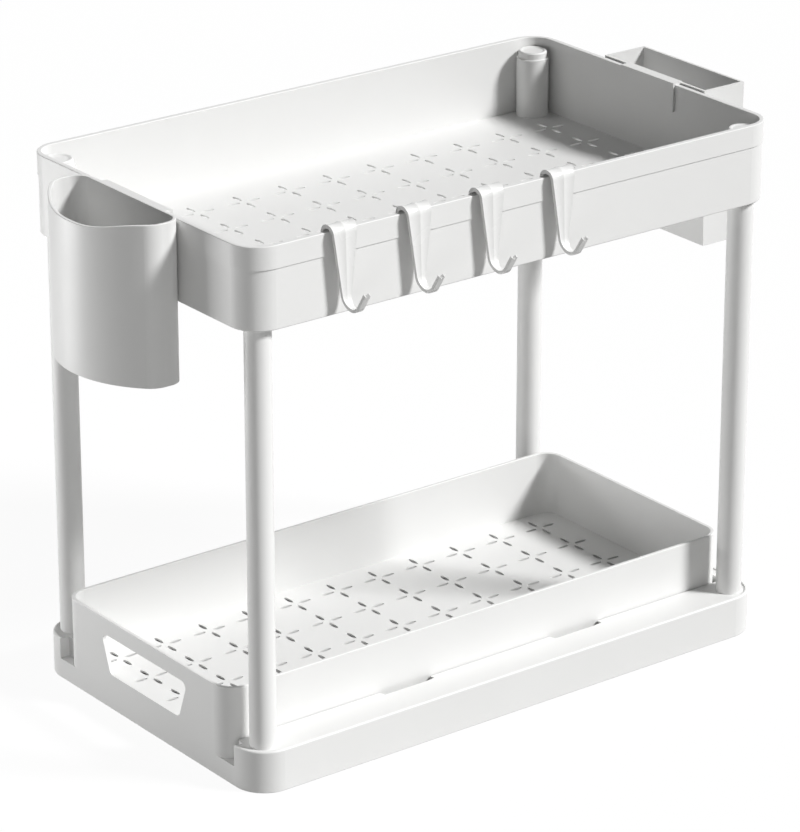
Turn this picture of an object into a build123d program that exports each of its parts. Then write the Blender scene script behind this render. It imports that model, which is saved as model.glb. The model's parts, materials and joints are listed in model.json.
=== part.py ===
from build123d import *
import os

# Under sink organizer: a base tray with a sliding drawer, four poles that carry an
# upper tray, and a cup, a box and four hooks that hang on the upper tray's rim.
# Millimetres, +Z up, origin at the centre of the base tray's underside.
# The drawer's handle is at the -X end, and the hooks hang on the -Y side.

os.makedirs("parts", exist_ok=True)

# Clearances, and the overrun that every cut shares
pole_clearance = 0.05
plug_clearance = 0.05
drawer_side_gap = 0.8
drawer_end_gap = 0.4
hang_gap = 0.7
leg_gap = 0.3
overrun = 2.0

# Base tray
base_length = 390.0
base_width = 229.6
base_corner_radius = 20.6
base_ledge_height = 26.0
base_bead_width = 1.6
base_bead_rise = 0.8
base_edge_round = 1.2
base_foot_round = 0.6
base_wall = 2.5
base_floor_height = 13.0
base_floor_thickness = 2.0
base_rib = 2.0
base_rib_columns = 3
base_rib_rows = 2
side_ledge_width = 27.8
end_ledge_width = 8.0
step_depth = 6.4
step_margin = 5.5
mouth_bevel = 1.5
socket_wall = 2.5
socket_floor = 4.2
notch_length = 39.0
notch_depth = 4.0
notch_spacing = 130.8
notch_lead = 1.5
notch_nose = 6.4
notch_nose_rise = 0.9
notch_nose_lean = 0.9
notch_pocket_length = 9.0
notch_pocket_lip = 0.7

# Poles
pole_diameter = 16.0
pole_wall = 1.2
pole_length = 320.0
pole_inset_x = 15.1
pole_inset_y = 14.1

# Upper tray
tray_set_back_x = 1.0
tray_set_back_y = 1.2
tray_corner_radius = 18.1
tray_inner_corner_radius = 13.0
tray_wall = 3.0
tray_height = 50.3
tray_floor = 1.2
tray_floor_rise = 0.8
tray_band_height = 13.8
tray_band_rise = 0.6
tray_rim_round = 0.5
tray_foot_round = 0.8
column_wall = 2.2
column_height = 40.2
column_web = 2.5

# Column caps
cap_radius = 9.05
cap_height = 4.5
cap_bevel = 0.7
cap_dish_radius = 7.4
cap_dish_depth = 0.5
cap_dish_slope = 1.2
cap_plug_length = 12.0

# Drawer
drawer_overhang = 0.2
drawer_height = 45.8
drawer_corner_radius = 13.0
drawer_wall = 2.4
drawer_runner_height = 2.0
drawer_runner_width = 3.0
drawer_floor = 1.2
drawer_rim_round = 0.5
grip_width = 91.0
grip_foot_width = 73.0
grip_height = 24.9
grip_drop = 10.6
grip_corner_radius = 4.0
scoop_height = 22.0
scoop_depth = 1.6
scoop_end_depth = 0.2
scoop_bottom_share = 0.75

# Drain slots, in rings of four leaves
leaf_length = 9.2
leaf_width = 2.7
leaf_ring_radius = 7.3
leaves_per_ring = 4
tray_ring_pitch_x = 33.9
tray_ring_pitch_y = 35.4
tray_ring_margin_x = 15.0
tray_ring_margin_y = 30.0
drawer_ring_pitch_x = 33.05
drawer_ring_pitch_y = 33.2
drawer_ring_margin_x = 15.0
drawer_ring_margin_y = 12.0
drawer_ring_shift = 2.2

# Hooks
hook_count = 4
hook_spacing = 52.4
hook_end_distance = 62.0
hook_thickness = 1.9
hook_width = 17.8
hook_tip_width = 3.9
hook_ridge_share = 0.055
hook_edge_share = 0.05
hook_rim_gap = 0.3
hook_leg_gap = 0.5
hook_leg_drop = 9.0
hook_arch_radius = 4.35
hook_lean = 2.5
hook_front_run = 36.1
hook_tip_bend_radius = 7.5
hook_tip_turn = 145.0
hook_tip_run = 10.7
hook_fork_depth = 1.8
hook_fork_share = 0.7
hook_facet_turn = 9.0

# Side cup
cup_width = 103.4
cup_reach = 44.0
cup_nose_radius = 67.0
cup_back_corner_radius = 10.0
cup_side_corner_radius = 14.0
cup_wall = 2.0
cup_depth = 97.8
cup_rim_rise = 2.0
cup_dip_depth = 5.5
cup_dip_width = 112.0
cup_dip_foot_width = 16.0
cup_dip_crown_rise = 0.4
cup_dip_reach_share = 0.75
cup_tab_width = 66.0

# Side box
box_width = 95.0
box_reach = 32.4
box_draft = 2.5
box_front_draft = 1.7
box_wall = 1.6
box_depth = 101.3
box_rim_rise = 1.0
box_tab_width = 50.0

# The tabs that hang the cup and the box over the rim
tab_thickness = 1.5
tab_leg_thickness = 1.3
tab_leg_drop = 17.2
tab_bend_round = 1.0
hanger_rim_round = 0.4

# Places that follow from the sizes
pole_radius = pole_diameter / 2
pole_bore_radius = pole_radius - pole_wall
socket_radius = pole_radius + pole_clearance
pole_x = base_length / 2 - pole_inset_x
pole_y = base_width / 2 - pole_inset_y
pole_places = [(x, y) for x in (-pole_x, pole_x) for y in (-pole_y, pole_y)]
corner_names = ["front_left", "back_left", "front_right", "back_right"]

channel_width = base_width - 2 * side_ledge_width
channel_start = -base_length / 2
channel_end = base_length / 2 - end_ledge_width
channel_length = channel_end - channel_start
step_width = channel_width + 2 * step_margin
notch_places = [-notch_spacing / 2, notch_spacing / 2]

drawer_width = channel_width - 2 * drawer_side_gap
drawer_start = -base_length / 2 - drawer_overhang
drawer_end = channel_end - drawer_end_gap
drawer_length = drawer_end - drawer_start
drawer_centre = (drawer_start + drawer_end) / 2
drawer_floor_top = base_floor_height + drawer_runner_height + drawer_floor
drawer_rim = base_floor_height + drawer_height

tray_length = base_length - 2 * tray_set_back_x
tray_width = base_width - 2 * tray_set_back_y
column_top = socket_floor + pole_length + column_web
tray_underside = column_top - column_height
tray_rim = tray_underside + tray_height
tray_floor_underside = tray_underside + tray_floor_rise
tray_floor_top = tray_floor_underside + tray_floor
tray_inner_length = tray_length - 2 * tray_wall
tray_inner_width = tray_width - 2 * tray_wall
rim_width = tray_wall + tray_band_rise
rim_face_x = tray_length / 2 + tray_band_rise
rim_face_y = tray_width / 2 + tray_band_rise


def mirrored_pair(shape):
    """The shape and its copy on the other side of the XZ plane."""
    return [shape, mirror(shape, about=Plane.XZ, mode=Mode.PRIVATE)]


def leaf_rings(half_length, half_width, pitch_x, pitch_y):
    """Rings of oval leaves about the centre, as many as fit in the half sizes."""
    columns = 2 * int(half_length / pitch_x) + 1
    rows = 2 * int(half_width / pitch_y) + 1
    with GridLocations(pitch_x, pitch_y, columns, rows):
        with PolarLocations(leaf_ring_radius, leaves_per_ring):
            Ellipse(leaf_length / 2, leaf_width / 2)


# Notches in the inner edges of the base tray's side ledges, the -Y side's outlines
with BuildSketch() as notches:
    for notch_x in notch_places:
        ledge_edge = -channel_width / 2
        with BuildLine():
            Polyline(
                (notch_x - notch_length / 2, ledge_edge + overrun),
                (notch_x - notch_length / 2, ledge_edge),
                (notch_x - notch_length / 2 + notch_lead, ledge_edge - notch_depth),
                (notch_x + notch_length / 2 - notch_nose, ledge_edge - notch_depth),
                (notch_x + notch_length / 2, ledge_edge - notch_depth + notch_nose_rise),
                (notch_x + notch_length / 2 - notch_nose_lean, ledge_edge),
                (notch_x + notch_length / 2 - notch_nose_lean, ledge_edge + overrun),
                close=True,
            )
        make_face()

# Hollow under the base tray's ledges, which leaves the sockets and the channel's walls
with BuildPart() as ledge_hollow:
    with BuildSketch():
        RectangleRounded(
            base_length - 2 * base_wall,
            base_width - 2 * base_wall,
            base_corner_radius - base_wall,
        )
        with Locations((channel_end + base_wall, 0)):
            Rectangle(
                base_length,
                channel_width + 2 * base_wall,
                align=(Align.MAX, Align.CENTER),
                mode=Mode.SUBTRACT,
            )
        with Locations((channel_start + step_depth + base_wall, 0)):
            Rectangle(
                base_length,
                step_width + 2 * base_wall,
                align=(Align.MAX, Align.CENTER),
                mode=Mode.SUBTRACT,
            )
        for notch_x in notch_places:
            with Locations((notch_x - notch_length / 2 - base_wall, 0)):
                Rectangle(
                    notch_length + notch_pocket_length + 2 * base_wall,
                    channel_width + 2 * (notch_depth + base_wall),
                    align=(Align.MIN, Align.CENTER),
                    mode=Mode.SUBTRACT,
                )
        with Locations(*pole_places):
            Circle(socket_radius + socket_wall, mode=Mode.SUBTRACT)
    extrude(amount=base_ledge_height - base_wall)

# Hollows under the channel's floor, between its ribs
with BuildPart() as floor_hollow:
    hollow_length = channel_length - base_wall
    pitch_x = (hollow_length + base_rib) / base_rib_columns
    pitch_y = (channel_width + base_rib) / base_rib_rows
    with BuildSketch():
        with Locations((channel_end - hollow_length / 2, 0)):
            with GridLocations(pitch_x, pitch_y, base_rib_columns, base_rib_rows):
                Rectangle(pitch_x - base_rib, pitch_y - base_rib)
    extrude(amount=base_floor_height - base_floor_thickness)

# Base tray: a shell with a raised bead round its ledges and a channel for the drawer.
# Each notch runs on at its +X end as a pocket under the ledge.
with BuildPart() as base_tray:
    with BuildSketch():
        RectangleRounded(base_length, base_width, base_corner_radius)
    extrude(amount=base_ledge_height + base_bead_rise)
    fillet(faces().sort_by(Axis.Z)[-1].edges(), base_edge_round)
    fillet(faces().sort_by(Axis.Z)[0].edges(), base_foot_round)
    with BuildSketch(Plane.XY.offset(base_ledge_height)):
        RectangleRounded(
            base_length - 2 * base_bead_width,
            base_width - 2 * base_bead_width,
            base_corner_radius - base_bead_width,
        )
    extrude(amount=base_bead_rise + overrun, mode=Mode.SUBTRACT)
    with BuildSketch(Plane.XY.offset(base_floor_height)) as channel_outline:
        with Locations((channel_end, 0)):
            Rectangle(
                channel_length + overrun,
                channel_width,
                align=(Align.MAX, Align.CENTER),
            )
        with BuildLine():
            Polyline(
                (channel_start - overrun, -step_width / 2),
                (channel_start + step_depth, -step_width / 2),
                (channel_start + step_depth, -channel_width / 2 - mouth_bevel),
                (channel_start + step_depth + mouth_bevel, -channel_width / 2),
                (channel_start + step_depth + mouth_bevel, channel_width / 2),
                (channel_start + step_depth, channel_width / 2 + mouth_bevel),
                (channel_start + step_depth, step_width / 2),
                (channel_start - overrun, step_width / 2),
                close=True,
            )
        make_face()
        for outline in mirrored_pair(notches.sketch):
            add(outline)
    extrude(amount=base_ledge_height, mode=Mode.SUBTRACT)
    with BuildSketch(Plane.XY.offset(base_floor_height)):
        for notch_x in notch_places:
            with Locations((notch_x + notch_length / 2 - notch_nose, 0)):
                Rectangle(
                    notch_nose + notch_pocket_length,
                    channel_width + 2 * (notch_depth - notch_nose_rise),
                    align=(Align.MIN, Align.CENTER),
                )
    extrude(amount=base_ledge_height - notch_pocket_lip - base_floor_height, mode=Mode.SUBTRACT)
    add(ledge_hollow.part, mode=Mode.SUBTRACT)
    add(floor_hollow.part, mode=Mode.SUBTRACT)
    with BuildSketch(Plane.XY.offset(socket_floor)):
        with Locations(*pole_places):
            Circle(socket_radius)
    extrude(amount=base_ledge_height, mode=Mode.SUBTRACT)
base_tray.part.label = "base_tray"
export_step(base_tray.part, "parts/base_tray.step")

# Poles: plain tubes from the base tray's sockets to the webs in the upper tray's columns
for name, place in zip(corner_names, pole_places):
    with BuildPart() as pole:
        with BuildSketch(Plane.XY.offset(socket_floor)):
            with Locations(place):
                Circle(pole_radius)
                Circle(pole_bore_radius, mode=Mode.SUBTRACT)
        extrude(amount=pole_length)
    pole.part.label = f"pole_{name}"
    export_step(pole.part, f"parts/pole_{name}.step")

# Upper tray: walls with a proud band at the rim, and a column over each pole
with BuildPart() as upper_tray:
    with BuildSketch(Plane.XY.offset(tray_underside)):
        RectangleRounded(tray_length, tray_width, tray_corner_radius)
    extrude(amount=tray_height)
    fillet(faces().sort_by(Axis.Z)[0].edges(), tray_foot_round)
    with BuildSketch(Plane.XY.offset(tray_rim - tray_band_height)):
        RectangleRounded(
            tray_length + 2 * tray_band_rise,
            tray_width + 2 * tray_band_rise,
            tray_corner_radius + tray_band_rise,
        )
    extrude(amount=tray_band_height)
    with BuildSketch(Plane.XY.offset(tray_floor_top)):
        RectangleRounded(tray_inner_length, tray_inner_width, tray_inner_corner_radius)
    extrude(amount=tray_height, mode=Mode.SUBTRACT)
    fillet(faces().sort_by(Axis.Z)[-1].edges(), tray_rim_round)
    with BuildSketch(Plane.XY.offset(tray_underside)):
        RectangleRounded(tray_inner_length, tray_inner_width, tray_inner_corner_radius)
    extrude(amount=tray_floor_rise, mode=Mode.SUBTRACT)
    with BuildSketch(Plane.XY.offset(tray_underside)):
        with Locations(*pole_places):
            Circle(socket_radius + column_wall)
    extrude(amount=column_height)
    with BuildSketch(Plane.XY.offset(tray_underside)):
        with Locations(*pole_places):
            Circle(socket_radius)
    extrude(amount=column_height - column_web, mode=Mode.SUBTRACT)
    with BuildSketch(Plane.XY.offset(column_top - column_web)):
        with Locations(*pole_places):
            Circle(pole_bore_radius)
    extrude(amount=column_web, mode=Mode.SUBTRACT)
    with BuildSketch(Plane.XY.offset(tray_floor_underside)):
        leaf_rings(
            tray_inner_length / 2 - tray_ring_margin_x,
            tray_inner_width / 2 - tray_ring_margin_y,
            tray_ring_pitch_x,
            tray_ring_pitch_y,
        )
    extrude(amount=tray_floor, mode=Mode.SUBTRACT)
upper_tray.part.label = "upper_tray"
export_step(upper_tray.part, "parts/upper_tray.step")

# Column caps: dished discs whose plugs pass the webs into the poles' bores
for name, (cap_x, cap_y) in zip(corner_names, pole_places):
    plug_radius = pole_bore_radius - plug_clearance
    with BuildPart() as cap:
        with BuildSketch(Plane((cap_x, cap_y, column_top), x_dir=(1, 0, 0), z_dir=(0, -1, 0))):
            with BuildLine():
                Polyline(
                    (0, -cap_plug_length),
                    (plug_radius, -cap_plug_length),
                    (plug_radius, 0),
                    (cap_radius, 0),
                    (cap_radius, cap_height - cap_bevel),
                    (cap_radius - cap_bevel, cap_height),
                    (cap_dish_radius, cap_height),
                    (cap_dish_radius - cap_dish_slope, cap_height - cap_dish_depth),
                    (0, cap_height - cap_dish_depth),
                    close=True,
                )
            make_face()
        revolve(axis=Axis((cap_x, cap_y, 0), (0, 0, 1)))
    cap.part.label = f"cap_{name}"
    export_step(cap.part, f"parts/cap_{name}.step")

# Shallow scoop in the foot of the drawer's -Y wall, about X = 0, deepest near its +X end
with BuildPart() as scoop:
    scoop_top = base_floor_height + scoop_height
    wall_face = -drawer_width / 2
    for share, depth in ((0, scoop_end_depth), (scoop_bottom_share, scoop_depth), (1, scoop_end_depth)):
        scoop_x = notch_length * share - notch_length / 2
        with BuildSketch(Plane((scoop_x, 0, 0), x_dir=(0, 1, 0), z_dir=(1, 0, 0))):
            with BuildLine():
                foot = (wall_face + depth, base_floor_height)
                crown = (wall_face, scoop_top)
                TangentArc(crown, foot, tangent=(0, -1))
                Polyline(foot, (wall_face - overrun, base_floor_height), (wall_face - overrun, scoop_top), crown)
            make_face()
    loft(ruled=True)

# Drawer: thin walls round a slotted floor, on lengthwise runners
with BuildPart() as drawer:
    with BuildSketch(Plane.XY.offset(base_floor_height)):
        with Locations((drawer_centre, 0)):
            RectangleRounded(drawer_length, drawer_width, drawer_corner_radius)
    extrude(amount=drawer_height)
    with BuildSketch(Plane.XY.offset(drawer_floor_top)):
        with Locations((drawer_centre, 0)):
            RectangleRounded(
                drawer_length - 2 * drawer_wall,
                drawer_width - 2 * drawer_wall,
                drawer_corner_radius - drawer_wall,
            )
    extrude(amount=drawer_height, mode=Mode.SUBTRACT)
    fillet(faces().sort_by(Axis.Z)[-1].edges(), drawer_rim_round)
    pocket_length = drawer_length - 2 * drawer_corner_radius
    pocket_rows = 2 * int((drawer_width / 2 - drawer_ring_margin_y) / drawer_ring_pitch_y) + 1
    with BuildSketch(Plane.XY.offset(base_floor_height)):
        with Locations((drawer_centre, -drawer_ring_shift)):
            with GridLocations(pocket_length, drawer_ring_pitch_y, 1, pocket_rows):
                Rectangle(pocket_length, drawer_ring_pitch_y - drawer_runner_width)
    extrude(amount=drawer_runner_height, mode=Mode.SUBTRACT)
    with BuildSketch(Plane.XY.offset(base_floor_height)):
        with Locations((drawer_centre, -drawer_ring_shift)):
            leaf_rings(
                drawer_length / 2 - drawer_ring_margin_x,
                drawer_width / 2 - drawer_ring_margin_y,
                drawer_ring_pitch_x,
                drawer_ring_pitch_y,
            )
    extrude(amount=drawer_runner_height + drawer_floor, mode=Mode.SUBTRACT)
    grip_top = drawer_rim - grip_drop
    with BuildSketch(Plane((drawer_start, 0, 0), x_dir=(0, 1, 0), z_dir=(1, 0, 0))):
        with BuildLine():
            Polyline(
                (-grip_foot_width / 2, grip_top - grip_height),
                (grip_foot_width / 2, grip_top - grip_height),
                (grip_width / 2, grip_top),
                (-grip_width / 2, grip_top),
                close=True,
            )
        make_face()
        fillet(vertices(), grip_corner_radius)
    extrude(amount=2 * drawer_wall, mode=Mode.SUBTRACT)
    for cut in mirrored_pair(scoop.part):
        with Locations(*[(x, 0) for x in notch_places]):
            add(cut, mode=Mode.SUBTRACT)
drawer.part.label = "drawer"
export_step(drawer.part, "parts/drawer.step")

# Course of a hook's strap from its inner leg over the rim to its tip. Local X is the
# way out from the middle of the rim, and local Y is the height above the rim.
with BuildLine() as hook_course:
    leg_out = -rim_width / 2 - hook_leg_gap - hook_thickness / 2
    arch_inside = hook_arch_radius - hook_thickness / 2
    arch_height = hook_rim_gap - (arch_inside**2 - (arch_inside - hook_leg_gap) ** 2) ** 0.5
    leg = Line((leg_out, -hook_leg_drop), (leg_out, arch_height))
    leg_bend = JernArc(leg @ 1, leg % 1, hook_arch_radius, -90)
    front_bend = JernArc(leg_bend @ 1, leg_bend % 1, hook_arch_radius, hook_lean - 90)
    front_run = PolarLine(front_bend @ 1, hook_front_run, direction=front_bend % 1)
    tip_bend = JernArc(front_run @ 1, front_run % 1, hook_tip_bend_radius, hook_tip_turn)
    tip_run = PolarLine(tip_bend @ 1, hook_tip_run, direction=tip_bend % 1)

# Sections along each run or bend of the strap, so that no facet of a bend shows
hook_pieces = [leg, leg_bend, front_bend, front_run, tip_bend, tip_run]
hook_piece_turns = [0, 90, 90 - hook_lean, 0, hook_tip_turn, 0]
hook_stations = [(leg, 0)]
for piece, turn in zip(hook_pieces, hook_piece_turns):
    steps = 1 + int(turn / hook_facet_turn)
    hook_stations += [(piece, (step + 1) / steps) for step in range(steps)]
taper_length = front_bend.length + front_run.length + tip_bend.length / 2


def hook_half_width(piece, share):
    """Half the strap's width: full over the rim, then an even taper to the tip's bend."""
    if piece is front_bend:
        run = share * piece.length
    elif piece is front_run:
        run = front_bend.length + share * piece.length
    elif piece is tip_bend:
        run = min(taper_length, front_bend.length + front_run.length + share * piece.length)
    elif piece is tip_run:
        run = taper_length
    else:
        run = 0
    return (hook_width + (hook_tip_width - hook_width) * run / taper_length) / 2


# Hooks: a strap with a ridge down the middle of its outer face and a forked tip
for number in range(hook_count):
    hook_x = hook_end_distance + number * hook_spacing - tray_length / 2
    with BuildPart() as hook:
        for piece, share in hook_stations:
            spot = piece @ share
            heading = piece % share
            half_width = hook_half_width(piece, share)
            face = hook_thickness / 2
            ridge = face + hook_ridge_share * half_width
            edge = face + hook_edge_share * half_width
            section_plane = Plane(
                (hook_x, -rim_face_y + rim_width / 2 - spot.X, tray_rim + spot.Y),
                x_dir=(1, 0, 0),
                z_dir=(0, -heading.X, heading.Y),
            )
            with BuildSketch(section_plane):
                with BuildLine():
                    ThreePointArc((-half_width, edge), (-half_width / 2, face), (0, ridge))
                    ThreePointArc((0, ridge), (half_width / 2, face), (half_width, edge))
                    Polyline(
                        (half_width, edge),
                        (half_width, -face),
                        (-half_width, -face),
                        (-half_width, edge),
                    )
                make_face()
        loft(ruled=True)
        tip_end = section_plane.origin
        with BuildSketch(Plane(tip_end, x_dir=(1, 0, 0), z_dir=section_plane.y_dir)):
            with BuildLine():
                fork_half_width = hook_fork_share * hook_tip_width / 2
                Polyline((-fork_half_width, 0), (fork_half_width, 0), (0, hook_fork_depth), close=True)
            make_face()
        extrude(amount=hook_thickness, both=True, mode=Mode.SUBTRACT)
    hook.part.label = f"hook_{number + 1}"
    export_step(hook.part, f"parts/hook_{number + 1}.step")

# Side cup: a D-shaped cup whose rim dips at the nose, hung on the -X wall by a broad tab
cup_back = -rim_face_x - hang_gap
cup_nose = cup_back - cup_reach
cup_rim = tray_rim + cup_rim_rise
with BuildPart() as side_cup:
    with BuildSketch(Plane.XY.offset(cup_rim - cup_depth)):
        with Locations((cup_nose + cup_nose_radius, 0)):
            Circle(cup_nose_radius)
        with Locations((cup_back, 0)):
            Rectangle(
                2 * cup_nose_radius,
                cup_width,
                align=(Align.MAX, Align.CENTER),
                mode=Mode.INTERSECT,
            )
        fillet(vertices().group_by(Axis.X)[-1], cup_back_corner_radius)
        fillet(vertices().group_by(Axis.X)[0], cup_side_corner_radius)
    extrude(amount=cup_depth)
    offset(amount=-cup_wall, openings=faces().sort_by(Axis.Z)[-1])
    with BuildSketch(Plane.YZ.offset(cup_nose - overrun)):
        with BuildLine():
            foot_end = Vector(cup_dip_foot_width / 2, cup_rim - cup_dip_depth)
            crown_end = Vector(cup_dip_width / 2, cup_rim + cup_dip_crown_rise)
            foot_arc = TangentArc(foot_end, (foot_end + crown_end) / 2, tangent=(1, 0))
            TangentArc(foot_arc @ 1, crown_end, tangent=foot_arc % 1)
            Line(crown_end, (0, crown_end.Y))
            Line((0, foot_end.Y), foot_end)
            mirror(about=Plane.YZ)
        make_face()
    extrude(amount=overrun + cup_dip_reach_share * cup_reach, mode=Mode.SUBTRACT)
    rim_faces = faces().filter_by_position(Axis.Z, cup_rim - 2 * cup_dip_depth, cup_rim + overrun)
    rim_edges = rim_faces.edges()
    seams = [edge for edge in rim_edges if sum(edge in face.edges() for face in rim_faces) > 1]
    fillet([edge for edge in rim_edges if edge not in seams], hanger_rim_round)
    with BuildSketch(Plane.XZ.offset(-cup_tab_width / 2)):
        with BuildLine():
            leg_face = -rim_face_x + rim_width + leg_gap
            Polyline(
                (cup_back - cup_wall, tray_rim),
                (leg_face, tray_rim),
                (leg_face, tray_rim - tab_leg_drop),
                (leg_face + tab_leg_thickness, tray_rim - tab_leg_drop),
                (leg_face + tab_leg_thickness, tray_rim + tab_thickness),
                (cup_back - cup_wall, tray_rim + tab_thickness),
                close=True,
            )
        make_face()
        fillet(vertices().sort_by(Axis.X)[-1], tab_bend_round)
    extrude(amount=cup_tab_width)
side_cup.part.label = "side_cup"
export_step(side_cup.part, "parts/side_cup.step")

# Side box: a narrow box with a leaning back, hung on the +X wall by a tab
box_back = rim_face_x + hang_gap
box_rim = tray_rim + box_rim_rise
with BuildPart() as side_box:
    for height, draft in ((box_rim - box_depth, 1), (box_rim, 0)):
        section_start = box_back + draft * box_draft
        section_end = box_back + box_reach - draft * box_front_draft
        with BuildSketch(Plane.XY.offset(height)):
            with Locations(((section_start + section_end) / 2, 0)):
                Rectangle(section_end - section_start, box_width)
    loft(ruled=True)
    offset(amount=-box_wall, openings=faces().sort_by(Axis.Z)[-1])
    with BuildSketch(Plane.XZ.offset(-box_tab_width / 2)):
        with BuildLine():
            leg_face = rim_face_x - rim_width - leg_gap
            Polyline(
                (box_back + box_wall, tray_rim),
                (leg_face, tray_rim),
                (leg_face, tray_rim - tab_leg_drop),
                (leg_face - tab_leg_thickness, tray_rim - tab_leg_drop),
                (leg_face - tab_leg_thickness, tray_rim + tab_thickness),
                (box_back + box_wall, tray_rim + tab_thickness),
                close=True,
            )
        make_face()
    extrude(amount=box_tab_width)
side_box.part.label = "side_box"
export_step(side_box.part, "parts/side_box.step")
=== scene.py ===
import json
import math

import bpy
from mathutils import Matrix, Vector

# A white two-tier organizer for under a sink: base, drawer, poles, upper tray, caps,
# hooks, cup and box. Lengths are metres, and the frame gives every place.

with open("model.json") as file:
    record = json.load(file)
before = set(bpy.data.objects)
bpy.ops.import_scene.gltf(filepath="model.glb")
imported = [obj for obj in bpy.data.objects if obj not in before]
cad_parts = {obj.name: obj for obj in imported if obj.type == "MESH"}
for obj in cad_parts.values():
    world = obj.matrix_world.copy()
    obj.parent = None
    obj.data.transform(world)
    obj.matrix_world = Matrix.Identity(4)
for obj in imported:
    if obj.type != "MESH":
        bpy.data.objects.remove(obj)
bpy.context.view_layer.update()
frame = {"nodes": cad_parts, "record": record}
nodes = frame["nodes"]

MM = 0.001

# The photograph's camera: its place, its turn and its lens for a frame 800 wide
camera_place = Vector((-1435.7, -1881.7, 1110.9)) * MM
camera_tilt_degrees = 90 - 21.982
camera_turn_degrees = -37.280
camera_focal_pixels = 4171.7
photo_width_pixels = 800
sensor_width_mm = 36.0
camera_reach = 50.0

# The studio: a soft key from the front right and above, a small fill low behind the left
# end, a broad one low on the camera's side that stays out of the trays, even room light,
# and a floor that shows white but keeps a little of the shadow
key_place = (0, 0, 1)
key_travel = Vector((-0.51, 0.57, -0.64))
key_strength = 4.0
key_spread_degrees = 12
back_fill = {"place": (-0.65, 0.55, 0.12), "aim": (-0.2, 0.0, 0.12), "watts": 3.4, "width": 0.3}
front_fill = {"place": (-0.8, -0.9, 0.08), "aim": (-0.1, -0.1, 0.12), "watts": 2.7, "width": 0.6}
room_strength = 0.11
white = "ffffff"
white_strength = 1.0
floor_width = 12.0
floor_glow_share = 0.94
floor_colour = "a0a09f"

# What all the plastics share: the light's bend at the surface, how far the grain stands out,
# how the grain and the flow marks break up, and how much the marks change the gloss
plastic_ior = 1.49
grain_strength = 0.5
grain_detail = 3.0
grain_breakup = 0.55
flow_detail = 2.0
flow_breakup = 0.5
flow_low = 0.3
flow_high = 0.7
gloss_swing = 0.03


def linear_colour(hex_colour):
    """An sRGB hex colour such as "f4f4f1" as linear red, green, blue and alpha."""
    channels = []
    for start in (0, 2, 4):
        value = int(hex_colour[start:start + 2], 16) / 255
        if value <= 0.04045:
            channels.append(value / 12.92)
        else:
            channels.append(((value + 0.055) / 1.055) ** 2.4)
    return (*channels, 1.0)


def add_node(tree, kind, links=None, **settings):
    """A node of that kind. Settings are its properties or inputs, and links feed its inputs."""
    node = tree.nodes.new(kind)
    for key, value in settings.items():
        if hasattr(node, key):
            setattr(node, key, value)
        else:
            node.inputs[key.replace("_", " ")].default_value = value
    for socket, source in (links or {}).items():
        tree.links.new(source, node.inputs[socket])
    return node


def empty_tree(owner):
    """The owner's node tree with nothing in it."""
    owner.use_nodes = True
    owner.node_tree.nodes.clear()
    return owner.node_tree


def per_metre(size_mm):
    """A pattern's scale for features of that size."""
    return 1 / (size_mm * MM)


def moulded_plastic(
    name, colours, roughness, grain_mm, grain_height_mm, flow_mm, stretch=(1, 1, 1)
):
    """Plastic with a fine grain in the surface and broad faint flow marks in its tone.
    A low stretch along one way draws both patterns out along it."""
    material = bpy.data.materials.new(name)
    tree = empty_tree(material)
    spot = add_node(tree, "ShaderNodeTexCoord").outputs["Object"]
    place = add_node(tree, "ShaderNodeMapping", {"Vector": spot}, Scale=stretch).outputs[0]
    grain = add_node(
        tree,
        "ShaderNodeTexNoise",
        {"Vector": place},
        Scale=per_metre(grain_mm),
        Detail=grain_detail,
        Roughness=grain_breakup,
    )
    flow = add_node(
        tree,
        "ShaderNodeTexNoise",
        {"Vector": place},
        Scale=per_metre(flow_mm),
        Detail=flow_detail,
        Roughness=flow_breakup,
    )
    tone = add_node(
        tree,
        "ShaderNodeMixRGB",
        {"Fac": flow.outputs["Fac"]},
        Color1=linear_colour(colours[0]),
        Color2=linear_colour(colours[1]),
    )
    gloss = add_node(
        tree,
        "ShaderNodeMapRange",
        {"Value": flow.outputs["Fac"]},
        From_Min=flow_low,
        From_Max=flow_high,
        To_Min=roughness - gloss_swing,
        To_Max=roughness + gloss_swing,
    )
    bump = add_node(
        tree,
        "ShaderNodeBump",
        {"Height": grain.outputs["Fac"]},
        Strength=grain_strength,
        Distance=grain_height_mm * MM,
    )
    shader = add_node(
        tree,
        "ShaderNodeBsdfPrincipled",
        {
            "Base Color": tone.outputs["Color"],
            "Roughness": gloss.outputs["Result"],
            "Normal": bump.outputs["Normal"],
        },
        IOR=plastic_ior,
    )
    add_node(tree, "ShaderNodeOutputMaterial", {"Surface": shader.outputs["BSDF"]})
    return material


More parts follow.
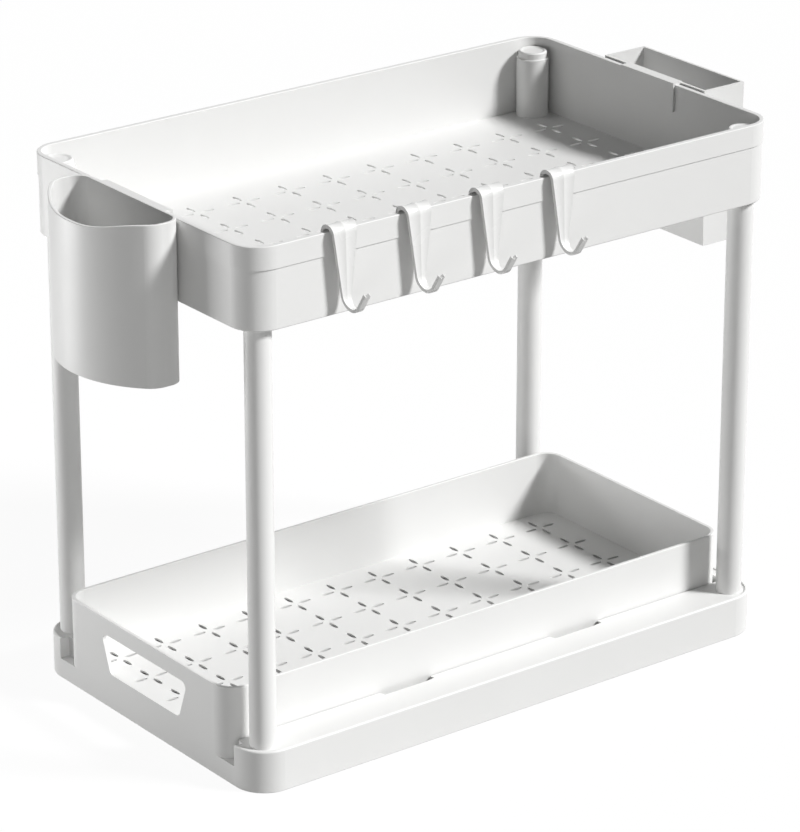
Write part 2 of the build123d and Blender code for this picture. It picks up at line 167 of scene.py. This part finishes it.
# Polypropylene is a touch translucent and comes from a lightly grained mould: the eye sees
# a soft satin white with no sharp highlight. The real grain is about 0.15 mm, too fine to
# show from here, so it is drawn at 0.6 to 0.9 mm.
tray_white = ("dfdfde", "e3e3e2")
finishes = {
    "base_plastic": moulded_plastic(
        "satin_polypropylene_base",
        tray_white,
        roughness=0.48,
        grain_mm=0.9,
        grain_height_mm=0.02,
        flow_mm=70,
    ),
    "tray_plastic": moulded_plastic(
        "satin_polypropylene_tray",
        tray_white,
        roughness=0.46,
        grain_mm=0.9,
        grain_height_mm=0.02,
        flow_mm=60,
    ),
    "drawer_plastic": moulded_plastic(
        "satin_polypropylene_drawer",
        tray_white,
        roughness=0.46,
        grain_mm=0.9,
        grain_height_mm=0.02,
        flow_mm=60,
    ),
    "cup_plastic": moulded_plastic(
        "satin_polypropylene_cup",
        tray_white,
        roughness=0.44,
        grain_mm=0.8,
        grain_height_mm=0.015,
        flow_mm=40,
    ),
    "box_plastic": moulded_plastic(
        "satin_polypropylene_box",
        tray_white,
        roughness=0.44,
        grain_mm=0.8,
        grain_height_mm=0.015,
        flow_mm=40,
    ),
    "cap_plastic": moulded_plastic(
        "satin_polypropylene_cap",
        tray_white,
        roughness=0.42,
        grain_mm=0.6,
        grain_height_mm=0.01,
        flow_mm=12,
    ),
    # The poles are extruded tube, smoother than the mouldings, with faint lines from the
    # die along their length, drawn 1.6 mm apart because the real ones are finer
    "pole_white": moulded_plastic(
        "extruded_tube_white",
        ("e1e1e0", "e5e5e4"),
        roughness=0.38,
        grain_mm=1.6,
        grain_height_mm=0.006,
        flow_mm=90,
        stretch=(1, 1, 0.03),
    ),
    # The hooks are harder plastic from a polished mould: they have the sharpest highlights,
    # broken only by a slight waviness
    "hook_plastic": moulded_plastic(
        "polished_abs_hook",
        ("dfdfde", "e2e2e1"),
        roughness=0.26,
        grain_mm=3.0,
        grain_height_mm=0.01,
        flow_mm=15,
    ),
}


def paint_nodes():
    """Each node gets the finish of its slot."""
    for part in frame["record"]["subparts"]:
        mesh = nodes[part["node"]].data
        mesh.materials.clear()
        mesh.materials.append(finishes[part["material_slot"]])


def seen_directly(tree):
    """One where the camera, a reflection or clear plastic looks at the surface."""
    rays = add_node(tree, "ShaderNodeLightPath")
    mirrored = add_node(
        tree,
        "ShaderNodeMath",
        {0: rays.outputs["Is Glossy Ray"], 1: rays.outputs["Is Transmission Ray"]},
        operation="MAXIMUM",
    )
    return add_node(
        tree,
        "ShaderNodeMath",
        {0: rays.outputs["Is Camera Ray"], 1: mirrored.outputs[0]},
        operation="MAXIMUM",
    ).outputs[0]


def make_floor():
    """A plain pale floor that shows white, with only a faint shadow under the object."""
    bpy.ops.mesh.primitive_plane_add(size=floor_width)
    floor = bpy.context.object
    floor.name = "floor"
    material = bpy.data.materials.new("pale_floor")
    tree = empty_tree(material)
    seen = seen_directly(tree)
    tone = add_node(
        tree,
        "ShaderNodeMixRGB",
        {"Fac": seen},
        Color1=linear_colour(floor_colour),
        Color2=linear_colour(white),
    )
    matt = add_node(tree, "ShaderNodeBsdfDiffuse", {"Color": tone.outputs["Color"]})
    glow = add_node(
        tree, "ShaderNodeEmission", Color=linear_colour(white), Strength=white_strength
    )
    share = add_node(tree, "ShaderNodeMath", {0: seen}, operation="MULTIPLY")
    share.inputs[1].default_value = floor_glow_share
    mixed = add_node(
        tree,
        "ShaderNodeMixShader",
        {"Fac": share.outputs[0], 1: matt.outputs[0], 2: glow.outputs[0]},
    )
    add_node(tree, "ShaderNodeOutputMaterial", {"Surface": mixed.outputs[0]})
    floor.data.materials.append(material)


def make_world():
    """Even soft room light, and white where the camera looks past the floor."""
    world = bpy.data.worlds.new("studio")
    bpy.context.scene.world = world
    tree = empty_tree(world)
    room = add_node(
        tree, "ShaderNodeBackground", Color=linear_colour(white), Strength=room_strength
    )
    backdrop = add_node(
        tree, "ShaderNodeBackground", Color=linear_colour(white), Strength=white_strength
    )
    mixed = add_node(
        tree,
        "ShaderNodeMixShader",
        {"Fac": seen_directly(tree), 1: room.outputs[0], 2: backdrop.outputs[0]},
    )
    add_node(tree, "ShaderNodeOutputWorld", {"Surface": mixed.outputs[0]})


def place_object(name, data, place, turn):
    """A new object in the scene for a lamp or a camera."""
    made = bpy.data.objects.new(name, data)
    bpy.context.scene.collection.objects.link(made)
    made.location = place
    made.rotation_euler = turn
    return made


def facing(way):
    """The turn that points a lamp along that way."""
    return way.to_track_quat("-Z", "Y").to_euler()


def make_lamps():
    """The key and the two fills."""
    key = bpy.data.lights.new("key_light", "SUN")
    key.energy = key_strength
    key.angle = math.radians(key_spread_degrees)
    place_object("key_light", key, key_place, facing(key_travel))
    for name, fill in (("back_fill", back_fill), ("front_fill", front_fill)):
        lamp = bpy.data.lights.new(name, "AREA")
        lamp.energy = fill["watts"]
        lamp.size = fill["width"]
        place_object(name, lamp, fill["place"], facing(Vector(fill["aim"]) - Vector(fill["place"])))


def make_camera():
    """The camera at the photograph's place and angle."""
    camera = bpy.data.cameras.new("camera")
    camera.sensor_fit = "HORIZONTAL"
    camera.sensor_width = sensor_width_mm
    camera.lens = camera_focal_pixels / photo_width_pixels * sensor_width_mm
    camera.clip_end = camera_reach
    turn = (math.radians(camera_tilt_degrees), 0, math.radians(camera_turn_degrees))
    bpy.context.scene.camera = place_object("camera", camera, camera_place, turn)


paint_nodes()
make_floor()
make_world()
make_lamps()
make_camera()
bpy.context.scene.view_settings.view_transform = "Standard"
